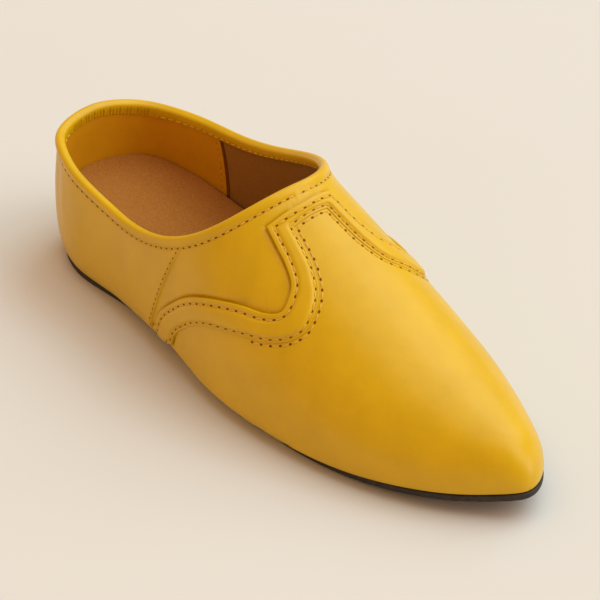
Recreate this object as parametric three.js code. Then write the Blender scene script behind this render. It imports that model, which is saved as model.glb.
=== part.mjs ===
import * as THREE from "three";
import { mergeVertices } from "three/addons/utils/BufferGeometryUtils.js";

// A pointed leather slipper for the right foot, standing empty on its sole, in millimetres.
// +X points to the toe, +Y to the inner side of the foot and +Z up.

// Driving sizes of the last
const LENGTH = 256.5;
const BALL_WIDTH = 86;
const INSTEP_HEIGHT = 74;
const HEEL_HEIGHT = 47.5;
const TUCK_ANGLE = THREE.MathUtils.degToRad(75);

// Driving sizes of the pieces
const GAP = 0.3;
const SOLE_THICKNESS = 2.7;
const SOLE_SIDE = [
  { share: 0, inset: 0.6 },
  { share: 0.3, inset: 0.1 },
  { share: 0.75, inset: 0 },
  { share: 1, inset: 0.4 },
];
// The sole lies inside the upper's edge at the heel and comes out past it at the toe
const SOLE_INSET_HEEL = 1.6;
const SOLE_INSET_TOE = -0.8;
const SOLE_WIDENS_FROM = 0.4;
const SOLE_WIDE_FROM = 0.75;
const TOE_SPRING = 9;
const SPRING_START = 0.636;
const ARCH_RISE = 1.2;
const ARCH_FROM = 0.2385;
const ARCH_TO = 0.517;
const WALL = 2.2;
const LASTING_MARGIN = 3;
const SEAM_LAP = 0.8;
const SEAM_LAP_LEVELS = 9;
const COLLAR_BEAD = 0.9;
const COLLAR_BEAD_WIDTH = 4;
const BAND_THICKNESS = 1.2;
const FOOTBED_HEEL = 23.3;
const FOOTBED_FOREPART = 8;
const FOOTBED_SLOPE_END = 0.55;
const FOOTBED_END = 0.93;
const FOOTBED_DISH = 1;
const FOOTBED_CLEARANCE = 0.6;

// One row for each section of the last, evenly spaced from heel to toe.
// along and top are shares of the length, at the widest line and at the ridge.
// outer and inner are half widths, and tuck the turn under the foot, as shares of the ball width.
// ridge is a share of the instep height and belly, the height of the widest line, of the heel height.
const SECTIONS = [
  { along: 0.0, top: 0.129, outer: 0.0, inner: 0.0, ridge: 1.39, belly: 0.485, tuck: 0.041 },
  { along: 0.028, top: 0.134, outer: 0.245, inner: 0.26, ridge: 1.39, belly: 0.42, tuck: 0.041 },
  { along: 0.109, top: 0.164, outer: 0.375, inner: 0.372, ridge: 1.39, belly: 0.36, tuck: 0.041 },
  { along: 0.2385, top: 0.2485, outer: 0.407, inner: 0.407, ridge: 1.33, belly: 0.275, tuck: 0.064 },
  { along: 0.378, top: 0.378, outer: 0.466, inner: 0.448, ridge: 1.18, belly: 0.18, tuck: 0.081 },
  { along: 0.517, top: 0.517, outer: 0.522, inner: 0.478, ridge: 0.966, belly: 0.105, tuck: 0.07 },
  { along: 0.656, top: 0.656, outer: 0.506, inner: 0.471, ridge: 0.73, belly: 0.063, tuck: 0.052 },
  { along: 0.7855, top: 0.7855, outer: 0.43, inner: 0.413, ridge: 0.52, belly: 0.042, tuck: 0.037 },
  { along: 0.895, top: 0.895, outer: 0.297, inner: 0.29, ridge: 0.351, belly: 0.032, tuck: 0.024 },
  { along: 0.967, top: 0.967, outer: 0.14, inner: 0.163, ridge: 0.223, belly: 0.021, tuck: 0.013 },
  { along: 1.0, top: 1.0, outer: 0.0, inner: 0.0, ridge: 0.0, belly: 0.0, tuck: 0.0 },
];
const UNIT = {
  along: LENGTH,
  top: LENGTH,
  outer: BALL_WIDTH,
  inner: BALL_WIDTH,
  tuck: BALL_WIDTH,
  ridge: INSTEP_HEIGHT,
  belly: HEEL_HEIGHT,
};
// Columns that pass through zero at an end, where the other columns level off
const CROSSING_AT_HEEL = ["outer", "inner"];
const CROSSING_AT_TOE = ["outer", "inner", "ridge", "belly", "tuck"];

// The collar climbs from the heel to the throat, where it meets the ridge.
// Each row is a third of the way, with the climb of the low line on either side.
const THROAT = 0.49;
const THROAT_SHARPNESS = 5.4;
const COLLAR = [
  { outer: 0.19, inner: 0.19 },
  { outer: 0.215, inner: 0.183 },
  { outer: 0.175, inner: 0.243 },
  { outer: 0.17, inner: 0.372 },
];

// The wavy band over the vamp, from the sole at the side seam to the crown of the tab.
// rear and front are its two edges, each a place along the last and a climb towards the band's axis.
const BAND = [
  { rear: 0.378, rearClimb: -0.3, front: 0.409, frontClimb: -0.3 },
  { rear: 0.381, rearClimb: -0.14, front: 0.4135, frontClimb: -0.15 },
  { rear: 0.386, rearClimb: 0, front: 0.4185, frontClimb: -0.02 },
  { rear: 0.3975, rearClimb: 0.07, front: 0.427, frontClimb: 0.05 },
  { rear: 0.419, rearClimb: 0.145, front: 0.443, frontClimb: 0.108 },
  { rear: 0.441, rearClimb: 0.218, front: 0.461, frontClimb: 0.165 },
  { rear: 0.468, rearClimb: 0.29, front: 0.486, frontClimb: 0.225 },
  { rear: 0.496, rearClimb: 0.355, front: 0.511, frontClimb: 0.27 },
  { rear: 0.524, rearClimb: 0.415, front: 0.54, frontClimb: 0.325 },
  { rear: 0.547, rearClimb: 0.46, front: 0.57, frontClimb: 0.39 },
  { rear: 0.562, rearClimb: 0.51, front: 0.592, frontClimb: 0.485 },
  { rear: 0.566, rearClimb: 0.575, front: 0.598, frontClimb: 0.6 },
  { rear: 0.559, rearClimb: 0.68, front: 0.588, frontClimb: 0.755 },
  { rear: 0.541, rearClimb: 0.735, front: 0.565, frontClimb: 0.835 },
  { rear: 0.521, rearClimb: 0.76, front: 0.543, frontClimb: 0.865 },
  { rear: 0.501, rearClimb: 0.78, front: 0.521, frontClimb: 0.885 },
];
const BAND_CROWN = { rear: 0.507, front: 0.521 };
// The tab leans to the outer side of the ridge by this much of the climb, the lower band not at all
const BAND_LEAN = 0.05;
const BAND_LEAN_FROM = 0.5;
const BAND_LEAN_FULL = 0.75;

// Fineness of the facets
const COLLAR_STEPS = 33;
const COLLAR_SPACING = 2;
const SEAM_STEP = 21;
const SEAM_SLOPE = 0.008;
const SEAM_FADE_STEPS = 18;
const COLUMN_LEAN = 0.47;
const THROAT_FAN = 0.115;
const THROAT_FAN_POWER = 7;
const COLUMN_BOW = 0.95;
const VAMP_STEPS = 22;
const VAMP_SPACING = 1.2;
const WALL_ROWS = 8;
const BEAD_ROWS = [2.4, 1.1];
const RIM_STEPS = 4;
const SOLE_STEPS = 44;
const BAND_STEPS = 45;
const CROWN_STEPS = 6;
const BAND_ACROSS = [0, 0.33, 0.67, 1];
const SPREAD = [0.25, 0.5, 0.75];
const DISH_STEPS = 4;
const LENGTH_SAMPLES = 24;
const BEAD_SHARE = 0.25;
const MERGE_DISTANCE = 0.002;
const HALVINGS = 30;

const OUTER = -1;
const INNER = 1;
const SIDES = [OUTER, INNER];

const { clamp, lerp } = THREE.MathUtils;

function smooth(share) {
  const inside = clamp(share, 0, 1);
  return inside * inside * (3 - 2 * inside);
}

function spline(before, start, end, after, t) {
  const slopeStart = (end - before) / 2;
  const slopeEnd = (after - start) / 2;
  const a = 2 * start - 2 * end + slopeStart + slopeEnd;
  const b = 3 * end - 3 * start - 2 * slopeStart - slopeEnd;
  return ((a * t + b) * t + slopeStart) * t + start;
}

// A smooth curve through one column of a table, at a place from 0 to 1
function column(rows, name, place, crossesStart = false, crossesEnd = false) {
  const last = rows.length - 1;
  const at = clamp(place, 0, 1) * last;
  const i = Math.min(Math.floor(at), last - 1);
  const value = (k) => rows[k][name];
  const start = value(i);
  const end = value(i + 1);
  const beforeFirst = crossesStart ? 2 * start - end : end;
  const afterLast = crossesEnd ? 2 * end - start : start;
  const before = i > 0 ? value(i - 1) : beforeFirst;
  const after = i + 2 <= last ? value(i + 2) : afterLast;
  return spline(before, start, end, after, at - i);
}

function size(name, place) {
  const share = column(
    SECTIONS, name, place, CROSSING_AT_HEEL.includes(name), CROSSING_AT_TOE.includes(name));
  return share * UNIT[name];
}

// Height of the sole's underside: flat under heel and ball, raised at the arch and the toe
function lift(place) {
  const along = size("along", place) / LENGTH;
  const spring = clamp((along - SPRING_START) / (1 - SPRING_START), 0, 1);
  const arch = clamp((along - ARCH_FROM) / (ARCH_TO - ARCH_FROM), 0, 1);
  return TOE_SPRING * spring ** 2 + ARCH_RISE * Math.sin(arch * Math.PI) ** 2;
}

function featherHeight(place) {
  return lift(place) + SOLE_THICKNESS + GAP;
}

// A point of the last. The climb runs from -1 at the feather edge, round the turn under the foot,
// to 0 at the widest line and up a quarter ellipse to 1 at the ridge.
function lastPoint(place, climb, side) {
  const x = size("along", place);
  const half = size(side === OUTER ? "outer" : "inner", place);
  const belly = size("belly", place);
  const towardsRidge = new THREE.Vector2(size("top", place) - x, -half);
  const inward = towardsRidge.clone().normalize();
  const up = clamp(climb, 0, 1) * Math.PI / 2;
  const turn = clamp(-climb, 0, 1) * TUCK_ANGLE;
  const under = size("tuck", place) * (1 - Math.cos(turn)) / (1 - Math.cos(TUCK_ANGLE));
  const drop = Math.sin(turn) / Math.sin(TUCK_ANGLE);
  const lean = 1 - Math.cos(up);
  const height = belly * (1 - drop) + (size("ridge", place) - belly) * Math.sin(up);
  return new THREE.Vector3(
    x + towardsRidge.x * lean + inward.x * under,
    side * (half + towardsRidge.y * lean + inward.y * under),
    featherHeight(place) + height,
  );
}

const PROBE = 0.001;

function lastNormal(place, climb, side) {
  if (place > 1 - PROBE) return new THREE.Vector3(1, 0, 0);
  const alongStep = lastPoint(Math.min(place + PROBE, 1), climb, side)
    .sub(lastPoint(Math.max(place - PROBE, 0), climb, side));
  const climbStep = lastPoint(place, Math.min(climb + PROBE, 1), side)
    .sub(lastPoint(place, Math.max(climb - PROBE, -1), side));
  const normal = alongStep.cross(climbStep).multiplyScalar(-side);
  if (place < PROBE || climb > 1 - PROBE) normal.y = 0;
  return normal.normalize();
}

function offsetPoint(place, climb, side, offset) {
  return lastPoint(place, climb, side).addScaledVector(lastNormal(place, climb, side), offset);
}

function collarClimb(share, side) {
  const low = column(COLLAR, side === OUTER ? "outer" : "inner", share, false, true);
  return 1 - (1 - low) * Math.sqrt(Math.max(1 - share ** THROAT_SHARPNESS, 0));
}

// The columns of the upper's wall on one side, from the heel to the toe, each a line on the last
// from the feather edge to the collar or, past the throat, to the ridge.
function wallColumns(side) {
  const columns = [];
  const addCollarColumn = (step, depth) => {
    const share = 1 - (1 - step) ** COLLAR_SPACING;
    columns.push({
      foot: THROAT * lerp(share, step, COLUMN_LEAN) + THROAT_FAN * step ** THROAT_FAN_POWER,
      top: THROAT * share,
      topClimb: collarClimb(share, side),
      atCollar: true,
      depth,
    });
  };
  const fade = (steps) => -SEAM_LAP * Math.max(1 - steps / SEAM_FADE_STEPS, 0);
  for (let i = 0; i <= COLLAR_STEPS; i += 1) {
    addCollarColumn(i / COLLAR_STEPS, i > SEAM_STEP ? fade(i - SEAM_STEP) : 0);
    if (i === SEAM_STEP) addCollarColumn(i / COLLAR_STEPS + SEAM_SLOPE, fade(0));
  }
  for (let j = 1; j <= VAMP_STEPS; j += 1) {
    const step = j / VAMP_STEPS;
    const place = lerp(THROAT, 1, step ** VAMP_SPACING);
    columns.push({
      foot: place + THROAT_FAN * (1 - step) ** 2,
      top: place,
      topClimb: 1,
      atCollar: false,
      depth: fade(COLLAR_STEPS - SEAM_STEP + j),
    });
  }
  return columns;
}

// A column rises straight to the widest line and leans towards its top from there
function onColumn(line, share) {
  const climb = lerp(-1, line.topClimb, share);
  const leaning = clamp(climb / line.topClimb, 0, 1) ** COLUMN_BOW;
  return { place: lerp(line.foot, line.top, leaning), climb };
}

// Shares of a column at which the wall has its rows: the feather edge, the turn under the foot,
// evenly spaced ones from the widest line, and close ones under the collar
function rowShares(line, side) {
  const widest = 1 / (1 + line.topClimb);
  const upwards = (step) => lerp(widest, 1, step / LENGTH_SAMPLES);
  const lengths = [0];
  let previous = null;
  for (let i = 0; i <= LENGTH_SAMPLES; i += 1) {
    const { place, climb } = onColumn(line, upwards(i));
    const point = lastPoint(place, climb, side);
    if (previous) lengths.push(lengths[i - 1] + point.distanceTo(previous));
    previous = point;
  }
  const total = lengths[LENGTH_SAMPLES];
  const shareAt = (length) => {
    const i = Math.max(lengths.findIndex((value) => value >= length), 1);
    const step = lengths[i] - lengths[i - 1];
    return upwards(step > 0 ? i - 1 + (length - lengths[i - 1]) / step : i);
  };
  const bead = Math.min(COLLAR_BEAD_WIDTH, total * BEAD_SHARE);
  const shares = [0, widest / 2];
  for (let i = 0; i <= WALL_ROWS; i += 1) shares.push(shareAt((total - bead) * i / WALL_ROWS));
  BEAD_ROWS.forEach((below) => shares.push(shareAt(total - bead * below / COLLAR_BEAD_WIDTH)));
  return [...shares, 1];
}

function collarLine() {
  const points = [];
  SIDES.forEach((side) => wallColumns(side).filter((line) => line.atCollar)
    .forEach((line) => points.push(lastPoint(line.top, line.topClimb, side))));
  return points;
}

// Height of the wall's outer face above the last. The turned edge stands proud along the collar,
// and the vamp, which lies lower past the side seam, comes level there.
function faceHeight(point, depth, collar) {
  const distance = Math.min(...collar.map((other) => other.distanceTo(point)));
  const share = clamp(distance / COLLAR_BEAD_WIDTH, 0, 1);
  return depth * smooth(distance / SEAM_LAP_LEVELS) + COLLAR_BEAD * (1 - share ** 2) ** 2;
}

class Surface {
  constructor() {
    this.corners = [];
  }

  triangle(a, b, c) {
    [a, b, c].forEach((point) => this.corners.push(point.x, point.y, point.z));
  }

  // Two triangles, split along the shorter diagonal
  quad(a, b, c, d, flipped = false) {
    const corners = flipped ? [a, d, c, b] : [a, b, c, d];
    if (a.distanceToSquared(c) > b.distanceToSquared(d)) corners.push(corners.shift());
    const [first, second, third, fourth] = corners;
    this.triangle(first, second, third);
    this.triangle(first, third, fourth);
  }

  // Shared corners become one, and triangles that close up to a line are left out
  geometry() {
    const loose = new THREE.BufferGeometry();
    loose.setAttribute("position", new THREE.Float32BufferAttribute(this.corners, 3));
    const merged = mergeVertices(loose, MERGE_DISTANCE);
    const index = Array.from(merged.index.array);
    const kept = [];
    for (let i = 0; i < index.length; i += 3) {
      const [a, b, c] = index.slice(i, i + 3);
      if (a !== b && b !== c && c !== a) kept.push(a, b, c);
    }
    merged.setIndex(kept);
    merged.computeVertexNormals();
    return merged;
  }
}

// The inner edge of the upper's lasting margin, level with the feather edge
function marginPoint(place, side, inset) {
  const point = lastPoint(place, -1, side);
  const outward = lastNormal(place, -0.5, side).setZ(0).normalize();
  return point.addScaledVector(outward, -inset);
}

// Round points over the collar, from the outer face of the wall to its inner face
function rimPoints(line, before, after, side) {
  const tangent = after.clone().sub(before);
  if (line.top <= 0) tangent.set(0, side, 0);
  if (line.top >= THROAT) tangent.set(0, -side, 0);
  const normal = lastNormal(line.top, line.topClimb, side);
  const centre = offsetPoint(line.top, line.topClimb, side, (COLLAR_BEAD - WALL) / 2);
  const radius = (COLLAR_BEAD + WALL) / 2;
  const upward = tangent.cross(normal).multiplyScalar(side).normalize();
  const points = [];
  for (let i = 1; i < RIM_STEPS; i += 1) {
    const angle = Math.PI * i / RIM_STEPS;
    points.push(centre.clone()
      .addScaledVector(normal, radius * Math.cos(angle))
      .addScaledVector(upward, radius * Math.sin(angle)));
  }
  return points;
}

// Vamp and quarter as one hollow wall, open at the collar and underneath
function makeUpper() {
  const surface = new Surface();
  const collar = collarLine();
  SIDES.forEach((side) => {
    const flipped = side === INNER;
    const columns = wallColumns(side);
    const outerFace = [];
    const innerFace = [];
    const rims = [];
    columns.forEach((line, i) => {
      const outer = [];
      const inner = [];
      rowShares(line, side).forEach((share, row) => {
        const { place, climb } = onColumn(line, share);
        const height = faceHeight(lastPoint(place, climb, side), line.depth, collar);
        outer.push(offsetPoint(place, climb, side, row > 0 ? height : 0));
        inner.push(row > 0
          ? offsetPoint(place, climb, side, -WALL)
          : marginPoint(place, side, LASTING_MARGIN));
      });
      // Inside, the wall runs straight past the turn, which would fold up at the toe
      inner[1].lerpVectors(inner[0], inner[2], 0.5);
      outerFace.push(outer);
      innerFace.push(inner);
      if (line.atCollar) {
        const neighbour = (k) => lastPoint(columns[k].top, columns[k].topClimb, side);
        const before = neighbour(Math.max(i - 1, 0));
        const after = neighbour(Math.min(i + 1, columns.length - 1));
        const round = rimPoints(line, before, after, side);
        rims.push([outer.at(-1), ...round, inner.at(-1)]);
      }
    });
    for (let i = 0; i + 1 < columns.length; i += 1) {
      for (let row = 0; row + 1 < outerFace[i].length; row += 1) {
        const ring = (face) => [face[i][row], face[i + 1][row], face[i + 1][row + 1], face[i][row + 1]];
        surface.quad(...ring(outerFace), flipped);
        surface.quad(...ring(innerFace), !flipped);
      }
      surface.quad(innerFace[i][0], innerFace[i + 1][0], outerFace[i + 1][0], outerFace[i][0], flipped);
    }
    for (let i = 0; i + 1 < rims.length; i += 1) {
      for (let k = 0; k < RIM_STEPS; k += 1) {
        surface.quad(rims[i][k], rims[i + 1][k], rims[i + 1][k + 1], rims[i][k + 1], flipped);
      }
    }
  });
  return surface.geometry();
}

// A solid through closed rings of points, each ring counter-clockwise as seen from the toe
function makeLoft(rings, closeEnd) {
  const surface = new Surface();
  const count = rings[0].length;
  for (let i = 0; i + 1 < rings.length; i += 1) {
    for (let k = 0; k < count; k += 1) {
      const next = (k + 1) % count;
      surface.quad(rings[i][k], rings[i][next], rings[i + 1][next], rings[i + 1][k]);
    }
  }
  if (closeEnd) {
    const ring = rings.at(-1);
    const centre = ring.reduce((sum, point) => sum.add(point), new THREE.Vector3()).divideScalar(count);
    for (let k = 0; k < count; k += 1) surface.triangle(centre, ring[k], ring[(k + 1) % count]);
  }
  return surface.geometry();
}

function between(start, end, shares, sag = 0) {
  return shares.map((share) => {
    const point = start.clone().lerp(end, share);
    point.z -= sag * 4 * share * (1 - share);
    return point;
  });
}

function makeOutsole() {
  const rings = [];
  for (let i = 0; i <= SOLE_STEPS; i += 1) {
    const place = i / SOLE_STEPS;
    const widened = smooth((place - SOLE_WIDENS_FROM) / (SOLE_WIDE_FROM - SOLE_WIDENS_FROM));
    const outline = lerp(SOLE_INSET_HEEL, SOLE_INSET_TOE, widened);
    const edge = (side) => SOLE_SIDE.map(({ share, inset }) => {
      const point = marginPoint(place, side, outline + inset);
      point.z = lift(place) + SOLE_THICKNESS * share;
      return point;
    });
    const outer = edge(OUTER);
    const inner = edge(INNER);
    rings.push([
      ...inner,
      ...between(inner.at(-1), outer.at(-1), SPREAD),
      ...outer.toReversed(),
      ...between(outer[0], inner[0], SPREAD),
    ]);
  }
  return makeLoft(rings, false);
}

function footbedHeight(place) {
  const slope = smooth(place / FOOTBED_SLOPE_END);
  return lift(place) + SOLE_THICKNESS + lerp(FOOTBED_HEEL, FOOTBED_FOREPART, slope);
}

// The climb at which a wall offset from the last reaches a height
function climbAtHeight(place, side, offset, height) {
  let low = -1;
  let high = 1;
  for (let i = 0; i < HALVINGS; i += 1) {
    const middle = (low + high) / 2;
    if (offsetPoint(place, middle, side, offset).z < height) low = middle;
    else high = middle;
  }
  return (low + high) / 2;
}

// The cushioned insole fills the space between the upper's walls, thick under the heel
function makeInsole() {
  const inset = -WALL - FOOTBED_CLEARANCE;
  const rings = [];
  for (let i = 0; i <= SOLE_STEPS; i += 1) {
    const place = FOOTBED_END * i / SOLE_STEPS;
    const edge = (side) => {
      const topClimb = climbAtHeight(place, side, inset, footbedHeight(place));
      const bottom = marginPoint(place, side, LASTING_MARGIN + FOOTBED_CLEARANCE);
      return [bottom, offsetPoint(place, topClimb, side, inset)];
    };
    const outer = edge(OUTER);
    const inner = edge(INNER);
    const dish = FOOTBED_DISH * Math.min(i / DISH_STEPS, 1);
    rings.push([
      ...inner,
      ...between(inner.at(-1), outer.at(-1), SPREAD, dish),
      ...outer.toReversed(),
      ...between(outer[0], inner[0], SPREAD),
    ]);
  }
  return makeLoft(rings, true);
}

// A point of the band, at a climb measured from the band's own axis on either side
function bandPoint(place, climb, side, height) {
  const leaning = clamp((climb - BAND_LEAN_FROM) / (BAND_LEAN_FULL - BAND_LEAN_FROM), 0, 1);
  const fromRidge = side * (1 - climb) - BAND_LEAN * leaning;
  const own = fromRidge < 0 ? OUTER : INNER;
  return offsetPoint(place, 1 - Math.abs(fromRidge), own, height);
}

// The stations of the band on one side, from the sole up to the corner of the tab and the crown
function bandStations() {
  const stations = [];
  for (let i = 0; i <= BAND_STEPS; i += 1) {
    const place = i / BAND_STEPS;
    const read = (name) => column(BAND, name, place, true, true);
    stations.push({
      rear: read("rear"),
      rearClimb: read("rearClimb"),
      front: read("front"),
      frontClimb: read("frontClimb"),
    });
  }
  const corner = BAND.at(-1);
  for (let i = 1; i <= CROWN_STEPS; i += 1) {
    const share = i / CROWN_STEPS;
    stations.push({
      rear: lerp(corner.rear, BAND_CROWN.rear, Math.sqrt(share)),
      rearClimb: lerp(corner.rearClimb, 1, share),
      front: lerp(corner.front, BAND_CROWN.front, share),
      frontClimb: lerp(corner.frontClimb, 1, share),
    });
  }
  return stations;
}

function makeBand() {
  const half = bandStations();
  const section = (station, side) => {
    const layer = (height) => BAND_ACROSS.map((share) => bandPoint(
      lerp(station.rear, station.front, share),
      lerp(station.rearClimb, station.frontClimb, share), side, height));
    return [...layer(GAP), ...layer(GAP + BAND_THICKNESS).toReversed()];
  };
  const rings = [
    ...half.map((station) => section(station, OUTER)),
    ...half.slice(0, -1).toReversed().map((station) => section(station, INNER)),
  ];
  const surface = new Surface();
  const count = rings[0].length;
  for (let i = 0; i + 1 < rings.length; i += 1) {
    for (let k = 0; k < count; k += 1) {
      const next = (k + 1) % count;
      surface.quad(rings[i][k], rings[i][next], rings[i + 1][next], rings[i + 1][k], true);
    }
  }
  const across = BAND_ACROSS.length;
  for (let k = 0; k + 1 < across; k += 1) {
    const cap = (ring) => [ring[k], ring[k + 1], ring[count - 2 - k], ring[count - 1 - k]];
    surface.quad(...cap(rings[0]));
    surface.quad(...cap(rings.at(-1)), true);
  }
  return surface.geometry();
}

function piece(name, geometry, colour, roughness) {
  const material = new THREE.MeshStandardMaterial({ color: colour, roughness, metalness: 0 });
  const mesh = new THREE.Mesh(geometry, material);
  mesh.name = name;
  return mesh;
}

const slipper = new THREE.Group();
slipper.add(piece("outsole", makeOutsole(), 0x2e2b29, 0.8));
slipper.add(piece("insole", makeInsole(), 0xb9834e, 0.95));
slipper.add(piece("upper", makeUpper(), 0xd9a021, 0.5));
slipper.add(piece("vamp_overlay", makeBand(), 0xd79d1f, 0.5));

// The origin lies under the middle of the slipper, on the floor
const box = new THREE.Box3().setFromObject(slipper);
const centre = box.getCenter(new THREE.Vector3());
slipper.position.set(-centre.x, -centre.y, -box.min.z);

export default slipper;
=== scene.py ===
import math

import bmesh
import bpy
import numpy as np
from mathutils import Matrix, Vector
from mathutils.kdtree import KDTree


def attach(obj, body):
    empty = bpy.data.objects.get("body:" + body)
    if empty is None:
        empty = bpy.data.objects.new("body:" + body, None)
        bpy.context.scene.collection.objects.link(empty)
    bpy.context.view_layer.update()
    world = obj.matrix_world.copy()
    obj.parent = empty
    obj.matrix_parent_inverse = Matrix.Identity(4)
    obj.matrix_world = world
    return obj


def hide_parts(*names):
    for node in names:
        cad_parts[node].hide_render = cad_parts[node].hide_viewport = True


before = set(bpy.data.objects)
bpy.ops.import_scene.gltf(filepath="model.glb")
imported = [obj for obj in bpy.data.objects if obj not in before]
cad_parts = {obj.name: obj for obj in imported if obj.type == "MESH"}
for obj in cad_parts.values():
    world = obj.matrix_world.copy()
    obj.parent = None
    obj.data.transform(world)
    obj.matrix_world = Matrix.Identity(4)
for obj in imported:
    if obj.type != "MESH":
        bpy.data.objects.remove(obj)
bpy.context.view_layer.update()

# A pointed leather slipper for the right foot, standing empty on its sole.
# Shapes are worked out in millimetres on the last: +X to the toe, +Y to the inner side, +Z up.
# A place runs from 0 at the heel to 1 at the toe. Across runs from 0 at the ridge to 1 at the
# widest line and 2 at the feather edge, and is negative on the outer side.

MM = 0.001

# Sizes of the last
LENGTH = 256.5
BALL_WIDTH = 86
INSTEP_HEIGHT = 74
HEEL_HEIGHT = 47.5
TUCK_ANGLE = math.radians(75)
SOLE_THICKNESS = 2.7
GAP = 0.3
TOE_SPRING = 9
SPRING_START = 0.636
ARCH_RISE = 1.2
ARCH_FROM = 0.2385
ARCH_TO = 0.517

# One row for each section of the last, evenly spaced from heel to toe
SECTION_UNITS = {
    "along": LENGTH, "top": LENGTH, "outer": BALL_WIDTH, "inner": BALL_WIDTH,
    "ridge": INSTEP_HEIGHT, "belly": HEEL_HEIGHT, "tuck": BALL_WIDTH,
}
SECTIONS = np.array([
    # along, top, outer, inner, ridge, belly, tuck
    (0.0, 0.129, 0.0, 0.0, 1.39, 0.485, 0.041),
    (0.028, 0.134, 0.245, 0.26, 1.39, 0.42, 0.041),
    (0.109, 0.164, 0.375, 0.372, 1.39, 0.36, 0.041),
    (0.2385, 0.2485, 0.407, 0.407, 1.33, 0.275, 0.064),
    (0.378, 0.378, 0.466, 0.448, 1.18, 0.18, 0.081),
    (0.517, 0.517, 0.522, 0.478, 0.966, 0.105, 0.07),
    (0.656, 0.656, 0.506, 0.471, 0.73, 0.063, 0.052),
    (0.7855, 0.7855, 0.43, 0.413, 0.52, 0.042, 0.037),
    (0.895, 0.895, 0.297, 0.29, 0.351, 0.032, 0.024),
    (0.967, 0.967, 0.14, 0.163, 0.223, 0.021, 0.013),
    (1.0, 1.0, 0.0, 0.0, 0.0, 0.0, 0.0),
])
CROSSING_AT_HEEL = ("outer", "inner")
CROSSING_AT_TOE = ("outer", "inner", "ridge", "belly", "tuck")

# The collar, in thirds from the heel to the throat, by the climb of its low line on either side
THROAT = 0.49
THROAT_SHARPNESS = 5.4
COLLAR = {-1: np.array([0.19, 0.215, 0.175, 0.17]), 1: np.array([0.19, 0.183, 0.243, 0.372])}

# The wall of the upper
WALL = 2.2
FEATHER = 2.0
BELOW_WIDEST = 1.5
LASTING_MARGIN = 3
SEAM_LAP = 0.8
SEAM_LAP_LEVELS = 9
SEAM_FADE = 70
SEAM_EDGE = 0.6
SEAM_STRETCH = 357
SEAM_GROOVE = 0.22
SEAM_GROOVE_WIDTH = 0.55
ROLL_HEIGHT = 1.05
ROLL_WIDTH = 3.6
COLLAR_STITCH_INSET = 2.8
COLLAR_GROOVE = 0.3
COLLAR_GROOVE_WIDTH = 0.65
COLLAR_PUCKER = 0.25
FOLD_REACH = 4

# Soft troughs and ridges of the leather, each a place, an across, its half lengths along the shoe
# and around it, the turn of its long side in degrees, and its height
FOLDS = np.array([
    # place, across, half along, half around, turn, height
    (0.16, -0.86, 3.0, 11.0, 8, -0.3),
    (0.185, -0.9, 2.6, 10.0, 8, 0.22),
    (0.25, -0.95, 5.0, 12.0, -12, -0.22),
    (0.07, -0.93, 9.0, 4.0, 0, 0.35),
    (0.07, 0.93, 9.0, 4.0, 0, 0.35),
    (0.33, -0.93, 4.0, 12.0, -20, 0.25),
    (0.44, -0.74, 9.0, 4.0, -25, -0.2),
    (0.49, -0.52, 5.0, 12.0, 30, -0.25),
    (0.53, -0.55, 4.0, 9.0, 25, 0.2),
    (0.62, -0.95, 16.0, 5.0, 10, -0.3),
    (0.7, -0.8, 20.0, 7.0, 12, 0.25),
    (0.66, -0.3, 5.0, 22.0, 10, -0.22),
    (0.74, 0.25, 5.0, 20.0, -8, -0.2),
    (0.84, -0.5, 9.0, 14.0, 20, 0.2),
    (0.17, 0.88, 3.0, 11.0, -8, -0.3),
    (0.3, 0.9, 4.0, 12.0, 15, -0.25),
    (0.6, 0.85, 14.0, 6.0, -10, -0.25),
])

# The linings: the turned edge inside the collar, gathered round the heel, and the quarter's lining
FACING_DEPTH = 3.5
FACING_THICKNESS = 0.45
FACING_EASE = 3
FACING_HEM = 0.2
FACING_STITCH_INSET = 2.6
FACING_ROWS = 18
FACING_COLUMNS = 330
FACING_HEEL_STEP = 0.2
RIM_COVER_FROM = 1.2
RIM_COVER_SUNK = 0.7
RIM_COVER_ROWS = 8
QUARTER_LINING = 0.4
LINING_SEAM = 0.255
LINING_SEAM_LEAN = 0.15
LINING_FOOT = -0.2
LINING_EDGE_ROUND = 0.5
# A thin dark strip in front of the quarter lining's edge paints the shadow line there
LINING_SHADOW_WIDTH = 1.1
LINING_SHADOW_SUNK = 0.2
LINING_SHADOW_RISE = 0.06
LINING_STITCH_INSET = 1.9
LINING_ROWS = 40
LINING_COLUMNS = 90
LINING_EDGE_SHARE = 0.03
LINING_EDGE_COLUMNS = 9
PLEAT_PITCH = 1.55
PLEAT_DEPTH = 0.95
PLEAT_WIDTH = 0.4
PLEAT_ARC = (-16, 30)
PLEAT_FADE = 7
PLEAT_UNEVEN = 0.35
PLEAT_TURN = 2.4
PLEAT_DEEPENS = 2

# Fineness of the wall's grid
COLLAR_STEPS = 208
COLLAR_SPACING = 2
SEAM_STEP = 21 / 33
SEAM_NEAR = np.array([
    -2.4, -1.8, -1.5, -1.25, -1, -0.75, -0.5, -0.2, 0, 0.15, 0.3, 0.45, 0.6, 0.8, 1.2, 1.8,
])
COLUMN_LEAN = 0.47
THROAT_FAN = 0.115
THROAT_FAN_POWER = 7
COLUMN_BOW = 0.95
VAMP_STEPS = 132
VAMP_FIRST = 0.022
VAMP_SPACING = 1.2
COLUMN_SAMPLES = 97
FINE_REACH = 9
FINE_SHARE = 1 / 3
FINE_ROWS = 26
COARSE_ROWS = 58
BAND_CROWDING = 6
BAND_CROWDING_WIDTH = 2.2
INNER_ROWS = 26
INNER_FINE_ROWS = 4
RIM_STEPS = 12
MERGE_DISTANCE = 2e-6
FLAT_DISTANCE = 1e-7

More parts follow.
